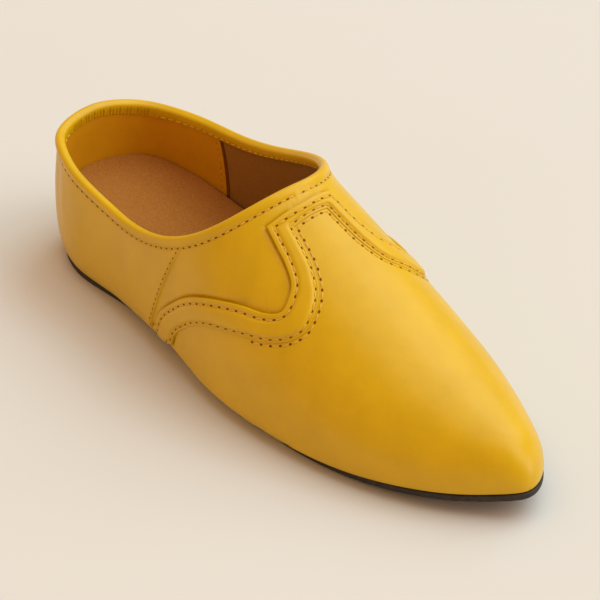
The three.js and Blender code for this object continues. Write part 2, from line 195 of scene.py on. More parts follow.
# The wavy band over the vamp, from the sole at the side seam to the corner of the tab.
# rear and front are its two edges, each a place and a climb towards the band's own axis.
BAND = np.array([
    # rear, rear climb, front, front climb
    (0.378, -0.3, 0.409, -0.3),
    (0.381, -0.14, 0.4135, -0.15),
    (0.386, 0.0, 0.4185, -0.02),
    (0.3975, 0.07, 0.427, 0.05),
    (0.419, 0.145, 0.443, 0.108),
    (0.441, 0.218, 0.461, 0.165),
    (0.468, 0.29, 0.486, 0.225),
    (0.496, 0.355, 0.511, 0.27),
    (0.524, 0.415, 0.54, 0.325),
    (0.547, 0.46, 0.57, 0.39),
    (0.562, 0.51, 0.592, 0.485),
    (0.566, 0.575, 0.598, 0.6),
    (0.559, 0.68, 0.588, 0.755),
    (0.541, 0.735, 0.565, 0.835),
    (0.521, 0.76, 0.543, 0.865),
    (0.501, 0.78, 0.521, 0.885),
])
BAND_CROWN_REAR = 0.507
BAND_CROWN_FRONT = 0.521
BAND_LEAN = 0.05
BAND_LEAN_FROM = 0.5
BAND_LEAN_FULL = 0.75
BAND_STATIONS = 330
CROWN_STATIONS = 40
BAND_FROM_REAR = np.array([0, 0.05, 0.12, 0.24, 0.4, 0.7, 1.2, 1.5, 1.7, 1.9, 2.15, 2.4, 2.65, 2.9, 3.1])
BAND_FROM_FRONT = np.array([2.1, 1.9, 1.7, 1.45, 1.2, 0.95, 0.7, 0.5, 0.25, 0])
BAND_MIDDLE_ROWS = 8
BAND_SUNK = 1
BAND_HEIGHT = 1.3
BAND_REAR_ROUND = 0.4
BAND_FRONT_HEIGHT = 0.4
BAND_FRONT_SLOPE = 2.2
BAND_FOOT_HEIGHT = 1.2
BAND_FOOT_SHARE = 0.6
BAND_FOOT_CLIMB = (-0.02, 0.1)
BAND_PILLOW = 0.3
BAND_PILLOW_SLOPE = 1.7
BAND_GROOVE = 0.32
BAND_GROOVE_WIDTH = 0.62
BAND_SEAT = 0.8
BAND_SEAT_WIDTH = 0.85
REAR_ROW_INSET = 2.4
FRONT_ROW_INSET = 1.2
VAMP_ROW_INSET = 1.2
VAMP_ROW_FROM = 0.547
VAMP_ROW_REACH = 1.9
ROW_END_STATIONS = 22
ROW_SAMPLES = 80

# Stitches
BAND_PITCH = 4.2
COLLAR_PITCH = 3.4
SEAM_PITCH = 2.8
SEAM_ROW_FROM = 0.055
SEAM_ROW_TO = 1.9
LINING_ROW_END = 0.03
SIDE_ROW_SAMPLES = 60
SEAM_STITCH_INSET = 0.75
THREAD_RADIUS = 0.26
THREAD_RISE = 1.1
THREAD_SUNK = 0.7
THREAD_SHARE = 0.68
THREAD_TAPER = 0.4
THREAD_END = 0.25
THREAD_RINGS = 9
THREAD_TURNS = 8
# Each stitch hole is a flat dark disc: painted shade where the hole's shadow would be
HOLE_RADIUS = 0.46
HOLE_LONG = 1.35
HOLE_RISE = 0.07
HOLE_TURNS = 12
HOLE_PROBE = 0.3
SEAM_STITCH_SCALE = 0.7
INSIDE_STITCH_SCALE = 0.75
INSIDE_HOLE_SCALE = 0.55
CONTOUR_COLUMNS = 240
CONTOUR_VAMP_STEPS = np.linspace(0, 0.3, 120)[1:]
CONTOUR_DEPTHS = np.linspace(0, 16, 33)

# The footbed and the sole
FOOTBED_HEEL = 23.3
FOOTBED_FOREPART = 8
FOOTBED_SLOPE_END = 0.55
FOOTBED_END = 0.93
FOOTBED_DISH = 1
FOOTBED_CLEARANCE = 0.6
FOOTBED_ROUND = 1.6
FOOTBED_ROWS = 61
FOOTBED_NARROW = 8
FOOTBED_STATIONS = 180
FOOTBED_DISH_STATIONS = 16
HALVINGS = 30
SOLE_SIDE = np.array([
    # share of the thickness, inset
    (0.0, 0.6), (0.12, 0.3), (0.3, 0.1), (0.55, 0.0), (0.75, 0.0), (0.9, 0.1), (1.0, 0.4),
])
SOLE_INSET_HEEL = -0.3
SOLE_INSET_WAIST = 1.2
SOLE_NARROWS_FROM = 0.16
SOLE_INSET_TOE = -0.8
SOLE_WIDENS_FROM = 0.4
SOLE_WIDE_FROM = 0.75
SOLE_STATIONS = 240
SOLE_SPREAD = np.linspace(0, 1, 14)[1:-1]

# The camera, in the last's millimetres and the picture's pixels
PICTURE_SIZE = 600
CAMERA_AZIMUTH = math.radians(50.1)
CAMERA_ELEVATION = math.radians(33.3)
CAMERA_DISTANCE = 1649
CAMERA_AIM = np.array([96.4, 64.4, 0])
CAMERA_FOCAL = 3322
SHOE_CENTRE = (240, 330)
ENLARGED = 1.295
SENSOR = 36

# Soft lamps aimed at the slipper, in metres and watts, and the warm light of the room
LAMPS = (
    # name, place, width, power, colour
    ("key", (2.4, 1.9, 2.7), 3.0, 50, (0.98, 0.97, 0.84)),
    ("window", (-0.3, 3.0, 3.0), 3.6, 58, (0.66, 1, 1)),
    ("low", (2.2, 2.5, 0.5), 1.0, 16, (1, 0.98, 0.95)),
    ("top", (0.4, 1.0, 4.4), 4.8, 74, (0.66, 1, 1)),
)
ROOM_COLOUR = (1, 0.555, 0.27)
ROOM_STRENGTH = 0.84
FLOOR_HALF = 4

upper_points = np.array([vertex.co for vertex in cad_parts["upper"].data.vertices])
TOE_TIP = upper_points[upper_points[:, 0].argmax()]
ORIGIN = np.array([upper_points[:, 0].min(), TOE_TIP[1], 0])


def lerp(start, end, share):
    return start + (end - start) * share


def smooth(share):
    share = np.clip(share, 0, 1)
    return share * share * (3 - 2 * share)


def hill(distance, width):
    return np.exp(-(distance / width) ** 2)


def flat_hill(distance, width):
    return np.exp(-(distance / width) ** 4)


def unit(vectors):
    return vectors / np.maximum(np.linalg.norm(vectors, axis=-1, keepdims=True), 1e-9)


def column(values, place, crosses_start=False, crosses_end=False):
    """A smooth curve through evenly spaced values, at places from 0 to 1."""
    first = 2 * values[0] - values[1] if crosses_start else values[1]
    last = 2 * values[-1] - values[-2] if crosses_end else values[-2]
    padded = np.concatenate([[first], values, [last]])
    at = np.clip(place, 0, 1) * (len(values) - 1)
    index = np.minimum(np.asarray(at).astype(int), len(values) - 2)
    t = at - index
    before, start, end, after = (padded[index + k] for k in range(4))
    slope_start = (end - before) / 2
    slope_end = (after - start) / 2
    cubic = 2 * start - 2 * end + slope_start + slope_end
    square = 3 * end - 3 * start - 2 * slope_start - slope_end
    return ((cubic * t + square) * t + slope_start) * t + start


def size(name, place):
    values = SECTIONS[:, list(SECTION_UNITS).index(name)]
    return SECTION_UNITS[name] * column(values, place, name in CROSSING_AT_HEEL, name in CROSSING_AT_TOE)


def lift(place):
    """Height of the sole's underside: flat under heel and ball, raised at the arch and the toe."""
    along = size("along", place) / LENGTH
    spring = np.clip((along - SPRING_START) / (1 - SPRING_START), 0, 1)
    arch = np.clip((along - ARCH_FROM) / (ARCH_TO - ARCH_FROM), 0, 1)
    return TOE_SPRING * spring ** 2 + ARCH_RISE * np.sin(arch * math.pi) ** 2


def last_point(place, across):
    place, across = np.broadcast_arrays(np.asarray(place, float), np.asarray(across, float))
    across = np.where(place < 0, -across, across)
    place = np.clip(np.abs(place), 0, 1)
    outer = across < 0
    climb = 1 - np.abs(across)
    x = size("along", place)
    half = np.where(outer, size("outer", place), size("inner", place))
    belly = size("belly", place)
    towards_ridge = size("top", place) - x
    reach = np.maximum(np.hypot(towards_ridge, half), 1e-9)
    up = np.clip(climb, 0, 1) * math.pi / 2
    turn = np.clip(-climb, 0, 1) * TUCK_ANGLE
    under = size("tuck", place) * (1 - np.cos(turn)) / (1 - math.cos(TUCK_ANGLE))
    inward = 1 - np.cos(up) + under / reach
    drop = np.sin(turn) / math.sin(TUCK_ANGLE)
    height = belly * (1 - drop) + (size("ridge", place) - belly) * np.sin(up)
    return np.stack([
        x + towards_ridge * inward,
        np.where(outer, -1, 1) * half * (1 - inward),
        lift(place) + SOLE_THICKNESS + GAP + height,
    ], axis=-1)


PROBE = 0.001


def last_normal(place, across):
    place, across = np.broadcast_arrays(np.asarray(place, float), np.asarray(across, float))
    along = last_point(place + PROBE, across) - last_point(place - PROBE, across)
    around = last_point(place, across + PROBE) - last_point(place, across - PROBE)
    normal = unit(np.cross(along, around))
    normal[place > 1 - PROBE] = (1, 0, 0)
    return normal


def offset_point(place, across, height):
    return last_point(place, across) + last_normal(place, across) * np.asarray(height)[..., None]


def collar_climb(share, side):
    low = column(COLLAR[side], share, False, True)
    return 1 - (1 - low) * np.sqrt(np.maximum(1 - share ** THROAT_SHARPNESS, 0))


class Columns:
    """Lines on one side of the last, from the feather edge to the collar, or to the ridge past it."""

    def __init__(self, side, collar_steps, vamp_steps):
        self.side = side
        share = 1 - (1 - collar_steps) ** COLLAR_SPACING
        vamp_place = lerp(THROAT, 1, vamp_steps ** VAMP_SPACING)
        collar_foot = (THROAT * lerp(share, collar_steps, COLUMN_LEAN)
                       + THROAT_FAN * collar_steps ** THROAT_FAN_POWER)
        vamp_foot = vamp_place + THROAT_FAN * (1 - vamp_steps) ** 2
        self.foot = np.concatenate([collar_foot, vamp_foot])
        self.top = np.concatenate([THROAT * share, vamp_place])
        self.top_climb = np.concatenate([collar_climb(share, side), np.ones_like(vamp_place)])
        self.at_collar = len(collar_steps)

    def at(self, share):
        """Place and across at shares of the columns, an array with a row for each column."""
        climb = lerp(-1, self.top_climb[:, None], share)
        leaning = np.clip(climb / self.top_climb[:, None], 0, 1) ** COLUMN_BOW
        return lerp(self.foot[:, None], self.top[:, None], leaning), self.side * (1 - climb)

    def lengths(self):
        """Shares of a column, and each column's length up to them."""
        samples = np.linspace(0, 1, COLUMN_SAMPLES)
        points = last_point(*self.at(np.broadcast_to(samples, (len(self.foot), len(samples)))))
        steps = np.linalg.norm(np.diff(points, axis=1), axis=2)
        return samples, np.concatenate([np.zeros((len(steps), 1)), np.cumsum(steps, axis=1)], axis=1)

    def shares(self, coarse_rows, fine_rows, crowding=None):
        """Shares that give even rows up to the fine reach under the top, and close rows from there.

        Crowding, where it is given, says how much closer the even rows lie at each sample."""
        samples, lengths = self.lengths()
        crowding = np.zeros(lengths.shape) if crowding is None else crowding
        rows = []
        for line, crowd in zip(lengths, crowding):
            fine = min(FINE_REACH, line[-1] * FINE_SHARE)
            measure = np.concatenate([[0], np.cumsum(np.diff(line) * (1 + crowd[1:]))])
            split = np.interp(line[-1] - fine, line, measure)
            coarse = np.interp(np.linspace(0, split, coarse_rows), measure, line)
            close = line[-1] - fine * np.linspace(1, 0, fine_rows + 1)[1:]
            rows.append(np.interp(np.concatenate([coarse, close]), line, samples))
        return np.array(rows)

    def shares_below(self, depths):
        """Shares at depths under the top."""
        samples, lengths = self.lengths()
        return np.array([np.interp(line[-1] - depths, line, samples) for line in lengths])


def seam_place(across):
    """The side seam's place at each across, a column of the wall."""
    side = np.where(across < 0, -1, 1)
    share = 1 - (1 - SEAM_STEP) ** COLLAR_SPACING
    foot = THROAT * lerp(share, SEAM_STEP, COLUMN_LEAN) + THROAT_FAN * SEAM_STEP ** THROAT_FAN_POWER
    top_climb = np.where(side < 0, collar_climb(share, -1), collar_climb(share, 1))
    leaning = np.clip((1 - np.abs(across)) / top_climb, 0, 1) ** COLUMN_BOW
    return lerp(foot, THROAT * share, leaning)


class Collar:
    """The collar's line on the last, from throat to throat round the heel, with its arc length."""

    def __init__(self, count=900):
        steps = np.linspace(0, 1, count)
        share = 1 - (1 - steps) ** COLLAR_SPACING
        halves = [last_point(THROAT * share, side * (1 - collar_climb(share, side))) for side in (-1, 1)]
        self.points = np.concatenate([halves[0][::-1], halves[1][1:]])
        lengths = np.linalg.norm(np.diff(self.points, axis=0), axis=1)
        self.arc = np.concatenate([[0], np.cumsum(lengths)])
        self.arc -= self.arc[count - 1]
        self.tree = tree_of(self.points)

    def nearest(self, points):
        return nearest(self.tree, points, self.arc)


def tree_of(points):
    tree = KDTree(len(points))
    for index, point in enumerate(points):
        tree.insert(point, index)
    tree.balance()
    return tree


def nearest(tree, points, values=None):
    """Distance to the nearest of the tree's points, and that point's value."""
    flat = points.reshape(-1, 3)
    found = [tree.find(point) for point in flat]
    distance = np.array([entry[2] for entry in found]).reshape(points.shape[:-1])
    if values is None:
        return distance
    index = np.array([entry[1] for entry in found])
    return distance, values[index].reshape(points.shape[:-1])


collar = Collar()


def seam_step(place, across):
    """The vamp lies under the quarter's edge at the side seam, behind which a row of stitches is sunk."""
    past = (place - seam_place(across)) * SEAM_STRETCH
    lap = SEAM_LAP * smooth(past / SEAM_EDGE) * np.clip(1 - past / SEAM_FADE, 0, 1)
    return -lap - SEAM_GROOVE * flat_hill(past + SEAM_STITCH_INSET, SEAM_GROOVE_WIDTH)


def folds(place, across, points):
    """Soft troughs and ridges, each in its own place on the leather."""
    height = np.zeros(place.shape)
    for fold_place, fold_across, half_along, half_around, turn, rise in FOLDS:
        centre = last_point(fold_place, fold_across)
        ahead = last_point(fold_place + PROBE, fold_across) - centre
        normal = last_normal(fold_place, fold_across)
        ahead = unit(ahead)
        around = np.cross(normal, ahead)
        sine, cosine = math.sin(math.radians(turn)), math.cos(math.radians(turn))
        away = points - centre
        along = away @ (ahead * cosine + around * sine)
        sideways = away @ (around * cosine - ahead * sine)
        near = np.linalg.norm(away, axis=-1) < FOLD_REACH * max(half_along, half_around)
        height += rise * near * hill(along, half_along) * hill(sideways, half_around)
    return height


def leather_height(place, across):
    """Height of the upper's outer face above the last."""
    points = last_point(place, across)
    distance, arc = collar.nearest(points)
    roll = ROLL_HEIGHT * (1 - np.clip(distance / ROLL_WIDTH, 0, 1) ** 2) ** 2
    puckers = 1 - COLLAR_PUCKER * (1 - np.cos(2 * math.pi * arc / COLLAR_PITCH))
    groove = COLLAR_GROOVE * puckers * flat_hill(distance - COLLAR_STITCH_INSET, COLLAR_GROOVE_WIDTH)
    clear = smooth(distance / SEAM_LAP_LEVELS)
    return (seam_step(place, across) + folds(place, across, points)) * clear + roll - groove


def to_world(points):
    return np.asarray(points).reshape(-1, 3) * MM + ORIGIN


def add_piece(name, points, faces, materials, replaced=None, face_materials=None, closed=True):
    """A smooth mesh that rides on the slipper."""
    mesh = bpy.data.meshes.new(name)
    mesh.from_pydata(to_world(points).tolist(), [], faces)
    for material in materials:
        mesh.materials.append(material)
    if face_materials is not None:
        mesh.polygons.foreach_set("material_index", face_materials)
    work = bmesh.new()
    work.from_mesh(mesh)
    bmesh.ops.remove_doubles(work, verts=work.verts, dist=MERGE_DISTANCE)
    bmesh.ops.dissolve_degenerate(work, edges=work.edges, dist=FLAT_DISTANCE)
    if closed:
        bmesh.ops.recalc_face_normals(work, faces=work.faces)
    work.to_mesh(mesh)
    work.free()
    mesh.polygons.foreach_set("use_smooth", np.ones(len(mesh.polygons), bool))
    piece = bpy.data.objects.new(name, mesh)
    bpy.context.scene.collection.objects.link(piece)
    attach(piece, "root")
    if replaced:
        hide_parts(replaced)
    return piece


def grid_faces(columns, rows, start=0, flipped=False, wrap=False):
    """Quads over a grid of points that are stored column by column."""
    across = np.arange(rows if wrap else rows - 1)
    i, k = np.meshgrid(np.arange(columns - 1), across, indexing="ij")
    following = (k + 1) % rows
    corners = [i * rows + k, (i + 1) * rows + k, (i + 1) * rows + following, i * rows + following]
    if flipped:
        corners.reverse()
    return (np.stack(corners, axis=-1).reshape(-1, 4) + start).tolist()


def add_loft(name, rings, material, replaced=None):
    """A closed piece through rings of points, with a face over each end."""
    columns, rows = rings.shape[:2]
    last_ring = (columns - 1) * rows
    caps = [list(range(rows)), list(range(last_ring + rows - 1, last_ring - 1, -1))]
    faces = grid_faces(columns, rows, wrap=True)
    add_piece(name, rings, faces + caps, [material], replaced)


class Sheets:
    """Points and faces of several grids, gathered for one mesh."""

    def __init__(self):
        self.points = []
        self.faces = []
        self.materials = []
        self.count = 0

    def add(self, grid, material=0, flipped=False, wrap=False):
        columns, rows = grid.shape[:2]
        faces = grid_faces(columns, rows, self.count, flipped, wrap)
        self.points.append(grid.reshape(-1, 3))
        self.add_faces(faces, material)
        self.count += columns * rows

    def add_faces(self, faces, material=0):
        self.faces += faces
        self.materials += [material] * len(faces)

    def make(self, name, materials, slot, replaced=None, closed=True):
        points = np.concatenate(self.points)
        return add_piece(name, points, self.faces, materials, replaced, self.materials, closed)


def rim_directions(outer, inner, below):
    """Axes of the round rim over the collar: across the wall, and up out of it."""
    across = unit(outer - inner)
    middle = (outer + inner) / 2
    along = np.gradient(middle, axis=0)
    up = unit(np.cross(along, across))
    up *= np.sign(np.sum(up * (outer - below), axis=1, keepdims=True))
    return across, up


def margin_point(place, side, inset):
    """A point inside the feather edge, level with it, along the way out of the wall there."""
    outward = last_normal(place, np.full_like(place, side * BELOW_WIDEST))
    outward[..., 2] = 0
    return last_point(place, side * FEATHER) - unit(outward) * inset


def make_upper(band, leather, vamp_lining):
    sheets = Sheets()
    step_width = THROAT * COLLAR_SPACING * (1 - SEAM_STEP) * SEAM_STRETCH
    near_seam = SEAM_STEP + SEAM_NEAR / step_width
    steps = np.sort(np.concatenate([np.linspace(0, 1, COLLAR_STEPS + 1), near_seam]))
    vamp_steps = np.linspace(VAMP_FIRST, 1, VAMP_STEPS)
    for side in (-1, 1):
        columns = Columns(side, steps, vamp_steps)
        samples, lengths = columns.lengths()
        samples = np.broadcast_to(samples, lengths.shape)
        crowding = BAND_CROWDING * band.closeness(*columns.at(samples), BAND_CROWDING_WIDTH)
        place, across = columns.at(columns.shares(COARSE_ROWS, FINE_ROWS, crowding))
        outer = offset_point(place, across, leather_height(place, across) - band.seat(place, across))
        inner_place, inner_across = columns.at(columns.shares(INNER_ROWS, INNER_FINE_ROWS))
        inner = offset_point(inner_place, inner_across, np.full(inner_place.shape, -WALL))
        inner[:, 0] = margin_point(columns.foot, side, LASTING_MARGIN)
        at_collar = slice(0, columns.at_collar)
        rim_outer = outer[at_collar, -1]
        rim_inner = inner[at_collar, -1]
        across_wall, up = rim_directions(rim_outer, rim_inner, outer[at_collar, -3])
        radius = np.linalg.norm(rim_outer - rim_inner, axis=1, keepdims=True) / 2
        angles = np.linspace(0, math.pi, RIM_STEPS + 1)
        rim = np.stack([
            (rim_outer + rim_inner) / 2 + radius * (across_wall * math.cos(a) + up * math.sin(a))
            for a in angles], axis=1)
        for end in (0, -1):
            rim[end, 1:-1, 1] = rim[end, (0, -1), 1].mean()
        sheets.add(outer, 0, side > 0)
        sheets.add(inner, 1, side < 0)
        sheets.add(rim, 0, side > 0)
        sheets.add(np.stack([inner[:, 0], outer[:, 0]], axis=1), 0, side > 0)
    sheets.make("upper_shell", [leather, vamp_lining], "upper_leather", "upper")


def facing_columns(side):
    """Collar columns for the turned edge, close together round the heel."""
    heel = np.linspace(0, FACING_HEEL_STEP, FACING_COLUMNS)
    rest = np.linspace(FACING_HEEL_STEP, 1, FACING_COLUMNS // 2)
    return Columns(side, np.concatenate([heel, rest[1:]]), np.zeros(0))


def make_facing(leather):
    """The turned edge inside the collar, gathered in small pleats round the heel."""
    halves = []
    depths = np.linspace(0, FACING_DEPTH, FACING_ROWS)
    for side in (-1, 1):
        columns = facing_columns(side)
        place, across = columns.at(columns.shares_below(depths))
        on_last = last_point(place, across)
        arc = collar.nearest(on_last)[1]
        pleat = np.round(arc / PLEAT_PITCH)
        uneven = 1 - PLEAT_UNEVEN * (1 - np.cos(PLEAT_TURN * pleat))
        slit = hill(arc - PLEAT_PITCH * pleat, PLEAT_WIDTH) * uneven
        window = smooth((arc - PLEAT_ARC[0]) / PLEAT_FADE) * smooth((PLEAT_ARC[1] - arc) / PLEAT_FADE)
        pleats = PLEAT_DEPTH * slit * window * smooth(depths / FACING_DEPTH * PLEAT_DEEPENS)
        thickness = FACING_THICKNESS * smooth(depths / FACING_EASE + 0.5) + QUARTER_LINING
        inner = offset_point(place, across, -(WALL + thickness - pleats))
        outer_edge = offset_point(place[:, 0], across[:, 0], np.full(len(place), ROLL_HEIGHT))
        inner_edge = inner[:, 0]
        across_wall, up = rim_directions(outer_edge, inner_edge, on_last[:, 3])
        radius = np.linalg.norm(outer_edge - inner_edge, axis=1, keepdims=True) / 2
        centre = (outer_edge + inner_edge) / 2
        angles = np.linspace(RIM_COVER_FROM, math.pi, RIM_COVER_ROWS + 1)[:-1]
        over = [centre + (radius - sunk) * (across_wall * math.cos(a) + up * math.sin(a))
                for a, sunk in zip(angles, np.linspace(RIM_COVER_SUNK, 0, RIM_COVER_ROWS))]
        hem = offset_point(place[:, -1], across[:, -1], np.full(len(place), -WALL + FACING_HEM))
        strip = np.stack([*over, *np.moveaxis(inner, 1, 0), hem], axis=1)
        for end in (0, -1):
            strip[end, :, 1] = strip[end, -1, 1] if end else 0
        halves.append(strip)
    sheets = Sheets()
    sheets.add(np.concatenate([halves[0][::-1], halves[1][1:]]))
    sheets.make("collar_facing", [leather], "upper_leather")


def lining_seam(climb):
    """Place of the quarter lining's front edge, which leans back towards the collar."""
    return LINING_SEAM - LINING_SEAM_LEAN * np.maximum(climb, 0) ** 2


def make_quarter_lining(leather):
    """The yellow lining round the heel, up to its own seam on either side."""
    near_edge = np.linspace(0, LINING_EDGE_SHARE, LINING_EDGE_COLUMNS)
    to_edge = np.linspace(0, 1 - LINING_EDGE_SHARE, LINING_COLUMNS)[:-1]
    half = np.concatenate([to_edge, 1 - near_edge[::-1]])
    way = np.concatenate([-half[::-1], half[1:]])[:, None]
    side = np.where(way < 0, -1, 1)
    top = np.where(side < 0, collar_climb(np.abs(way) * LINING_SEAM / THROAT, -1),
                   collar_climb(np.abs(way) * LINING_SEAM / THROAT, 1))
    climb = lerp(LINING_FOOT, top, np.linspace(0, 1, LINING_ROWS))
    place = np.abs(way) * lining_seam(climb)
    across = side * (1 - climb)
    from_edge = (1 - np.abs(way)) * LINING_SEAM * LENGTH
    edge = np.sqrt(1 - (1 - np.clip(from_edge / LINING_EDGE_ROUND, 0, 1)) ** 2)
    face = offset_point(place, across, np.broadcast_to(-WALL - QUARTER_LINING * edge, place.shape))
    back = offset_point(place, across, np.full(place.shape, -WALL + QUARTER_LINING))
    rings = np.concatenate([face, back[:, ::-1]], axis=1)
    add_loft("quarter_lining", rings, leather)


def make_lining_shadows(dark):
    """A dark strip in front of the quarter lining's edge, on either side, that paints the shadow line of
    that edge.
    """
    depths = -WALL + np.array([LINING_SHADOW_SUNK, LINING_SHADOW_SUNK, -LINING_SHADOW_RISE, -QUARTER_LINING])
    ahead = np.array([0, 1, 1, 0]) * LINING_SHADOW_WIDTH / LENGTH
    for name, side in (("lining_shadow_outer", -1), ("lining_shadow_inner", 1)):
        climb = np.linspace(LINING_FOOT, collar_climb(LINING_SEAM / THROAT, side), LINING_ROWS)[:, None]
        place = lining_seam(climb) + ahead
        across = np.broadcast_to(side * (1 - climb), place.shape)
        rings = offset_point(place, across, np.broadcast_to(depths, place.shape))
        add_loft(name, rings, dark)


class Band:
    """The wavy band, as stations from the outer foot over the crown of the tab to the inner foot."""

    def __init__(self):
        rows = np.linspace(0, 1, BAND_STATIONS)
        share = np.linspace(0, 1, CROWN_STATIONS + 1)[1:]
        corner = BAND[-1]
        crown = [
            lerp(corner[0], BAND_CROWN_REAR, np.sqrt(share)), lerp(corner[1], 1, share),
            lerp(corner[2], BAND_CROWN_FRONT, share), lerp(corner[3], 1, share),
        ]
        half = np.stack([np.concatenate([column(BAND[:, k], rows, True, True), crown[k]])
                         for k in range(4)])
        whole = np.concatenate([half, half[:, -2::-1]], axis=1)[..., None]
        self.rear, self.rear_climb, self.front, self.front_climb = whole
        self.count = whole.shape[1]
        self.side = np.where(np.arange(self.count) < half.shape[1], -1, 1)[:, None]
        self.rear_tree = tree_of(refined(last_point(*self.at(np.zeros((self.count, 1))))[:, 0]))
        self.front_tree = tree_of(refined(last_point(*self.at(np.ones((self.count, 1))))[:, 0]))

    def at(self, share):
        """Place and across at shares from the rear edge to the front edge."""
        place = lerp(self.rear, self.front, share)
        climb = lerp(self.rear_climb, self.front_climb, share)
        leaning = np.clip((climb - BAND_LEAN_FROM) / (BAND_LEAN_FULL - BAND_LEAN_FROM), 0, 1)
        return place, self.side * (1 - climb) - BAND_LEAN * leaning

    def closeness(self, place, across, width):
        """1 on the rear edge and on the front edge's foot, and 0 well away from them."""
        points = last_point(place, across)
        rear = hill(nearest(self.rear_tree, points), width)
        front = hill(nearest(self.front_tree, points), width)
        return np.maximum(rear, front * self.at_foot(across))

    def seat(self, place, across):
        """Depth of the trough that the band's edges press into the leather."""
        return BAND_SEAT * self.closeness(place, across, BAND_SEAT_WIDTH)

    def at_foot(self, across):
        """1 at the foot of the band, by the sole, and 0 further up."""
        low, high = BAND_FOOT_CLIMB
        return 1 - smooth((1 - np.abs(across) - low) / (high - low))

    def height(self, place, across):
        """Height of the band's top above the last."""
        points = last_point(place, across)
        rear = nearest(self.rear_tree, points)
        front = nearest(self.front_tree, points)
        rounded = np.sqrt(1 - (1 - np.clip(rear / BAND_REAR_ROUND, 0, 1)) ** 2)
        edge = lerp(BAND_FRONT_HEIGHT, BAND_FOOT_HEIGHT, self.at_foot(across))
        slope = lerp(edge, BAND_HEIGHT, smooth(front / BAND_FRONT_SLOPE))
        from_rows = np.minimum(rear - REAR_ROW_INSET, front - FRONT_ROW_INSET)
        pillow = BAND_PILLOW * smooth(from_rows / BAND_PILLOW_SLOPE)
        grooves = np.maximum(flat_hill(rear - REAR_ROW_INSET, BAND_GROOVE_WIDTH),
                             flat_hill(front - FRONT_ROW_INSET, BAND_GROOVE_WIDTH))
        slope = slope * lerp(1, BAND_FOOT_SHARE, self.at_foot(across))
        return leather_height(place, across) + slope * rounded + pillow - BAND_GROOVE * grooves

    def row(self, tree, inset, shares):
        """The line at an inset from one edge, as place and across for each station."""
        samples = np.broadcast_to(shares, (self.count, len(shares)))
        distance = nearest(tree, last_point(*self.at(samples)))
        found = np.array([np.interp(inset, line, shares) if line[-1] > line[0]
                          else np.interp(inset, line[::-1], shares[::-1]) for line in distance])
        place, across = self.at(found[:, None])
        return place[:, 0], across[:, 0]


def refined(points, times=5):
    index = np.arange(len(points))
    finer = np.linspace(0, len(points) - 1, (len(points) - 1) * times + 1)
    return np.stack([np.interp(finer, index, points[:, k]) for k in range(3)], axis=1)


def make_band(band, leather):
    edge = last_point(*band.at(np.broadcast_to([0.0, 1.0], (band.count, 2))))
    width = np.linalg.norm(edge[:, 1] - edge[:, 0], axis=1)[:, None]
    start = BAND_FROM_REAR / width
    end = 1 - BAND_FROM_FRONT / width
    middle = lerp(start[:, -1:], end[:, :1], np.linspace(0, 1, BAND_MIDDLE_ROWS + 2)[1:-1])
    share = np.concatenate([start, middle, end], axis=1)
    place, across = band.at(share)
    top = offset_point(place, across, band.height(place, across))
    seat_place, seat_across = place[:, (0, -1)], across[:, (0, -1)]
    seat = offset_point(seat_place, seat_across, leather_height(seat_place, seat_across) - BAND_SUNK)
    rings = np.concatenate([seat[:, :1], top, seat[:, 1:]], axis=1)
    add_loft("vamp_band", rings, leather, "vamp_overlay")


class Stitching:
    """Threads, and the dark discs between them that paint the shade of the stitch holes, gathered for two
    joined meshes.
    """

    def __init__(self):
        self.threads = Sheets()
        self.holes = Sheets()

    def sew(self, points, normals, pitch, scale=1, hole_scale=1):
        lengths = np.concatenate([[0], np.cumsum(np.linalg.norm(np.diff(points, axis=0), axis=1))])
        count = max(round(lengths[-1] / pitch), 1)
        holes = np.linspace(0, lengths[-1], count + 1)

        def on_line(values, at):
            return np.stack([np.interp(at, lengths, values[:, k]) for k in range(3)], -1)

        along = np.linspace(0, 1, THREAD_RINGS)
        within = 0.5 + THREAD_SHARE * (along - 0.5)
        for start, end in zip(holes[:-1], holes[1:]):
            at = lerp(start, end, within)
            self.thread(on_line(points, at), unit(on_line(normals, at)), along, scale)
        for at in holes:
            ahead = on_line(points, np.array([at - HOLE_PROBE, at + HOLE_PROBE]).clip(0, lengths[-1]))
            self.hole_shade(on_line(points, at), unit(on_line(normals, at)), unit(ahead[1] - ahead[0]),
                      scale * hole_scale)

    def thread(self, points, normals, along, scale):
        tangent = unit(np.gradient(points, axis=0))
        sideways = np.cross(tangent, normals)
        swell = np.sin(math.pi * along) ** THREAD_TAPER
        radius = scale * THREAD_RADIUS * np.maximum(swell, THREAD_END)[:, None]
        centre = points + normals * (scale * THREAD_RADIUS * (THREAD_RISE * swell - THREAD_SUNK))[:, None]
        turns = np.linspace(0, 2 * math.pi, THREAD_TURNS + 1)[:-1]
        ring = [centre + radius * (normals * math.cos(t) + sideways * math.sin(t)) for t in turns]
        self.threads.add(np.stack(ring, axis=1), wrap=True)

    # A flat dark disc just over the leather, the painted shade of one stitch hole
    def hole_shade(self, point, normal, tangent, scale):
        sideways = np.cross(tangent, normal)
        turns = np.linspace(0, 2 * math.pi, HOLE_TURNS + 1)
        raised = point + normal * HOLE_RISE
        rim = np.stack([raised + scale * HOLE_RADIUS * (
            tangent * HOLE_LONG * math.cos(t) + sideways * math.sin(t)) for t in turns])
        middle = np.broadcast_to(raised, rim.shape)
        self.holes.add(np.stack([rim, middle], axis=1))


def collar_contour(side, inset):
    """Place and across of the line at an inset from the collar, from the heel to the ridge."""
    columns = Columns(side, np.linspace(0, 1, CONTOUR_COLUMNS), CONTOUR_VAMP_STEPS)
    share = columns.shares_below(CONTOUR_DEPTHS)
    distance = collar.nearest(last_point(*columns.at(share)))[0]
    reached = distance[:, 0] < inset
    found = np.array([np.interp(inset, line, row) for line, row in zip(distance, share)])
    place, across = columns.at(found[:, None])
    return place[reached, 0], across[reached, 0]


